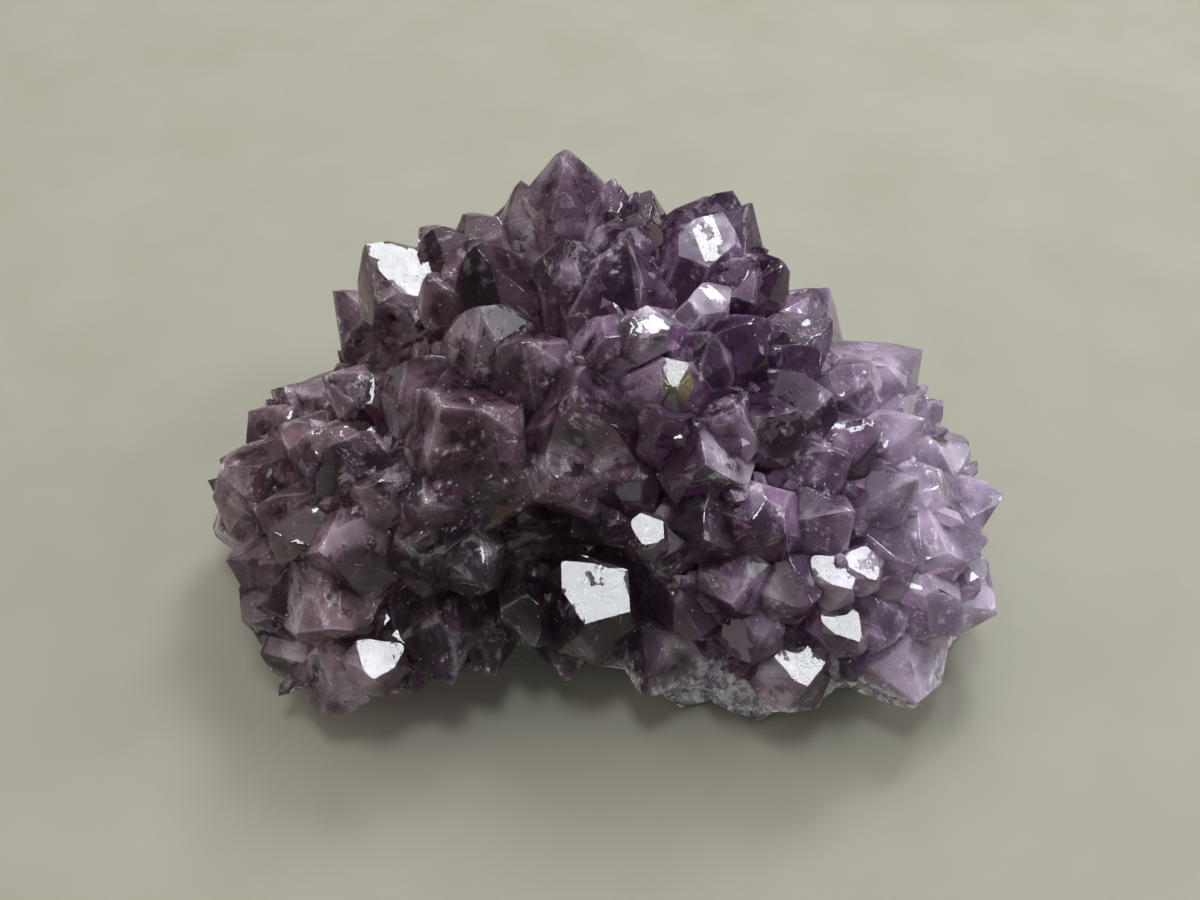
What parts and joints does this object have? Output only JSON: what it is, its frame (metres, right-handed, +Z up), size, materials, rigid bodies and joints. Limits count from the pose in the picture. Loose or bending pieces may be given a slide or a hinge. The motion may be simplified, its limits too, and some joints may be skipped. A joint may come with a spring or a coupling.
{
  "type": "amethyst cluster",
  "caption": "Mound-shaped cluster of purple quartz crystals grown together on a piece of grey-green rock, resting on a flat underside.",
  "frame": {"origin": "middle of the bounding box in X and Y, on the flat underside that the cluster rests on", "axes": "+X along the length of the cluster to the right as seen from its front, +Y to the back, +Z up"},
  "size_m": [0.1522, 0.1114, 0.0706],
  "materials": {
    "amethyst": "clear to cloudy purple quartz with bright crystal faces, lilac and frosted where it is broken",
    "matrix": "rough grey rock with a thin green-grey skin"
  },
  "bodies": {
    "root": {"amethyst_crystals": "amethyst", "matrix_rock": "matrix"}
  },
  "joints": []
}
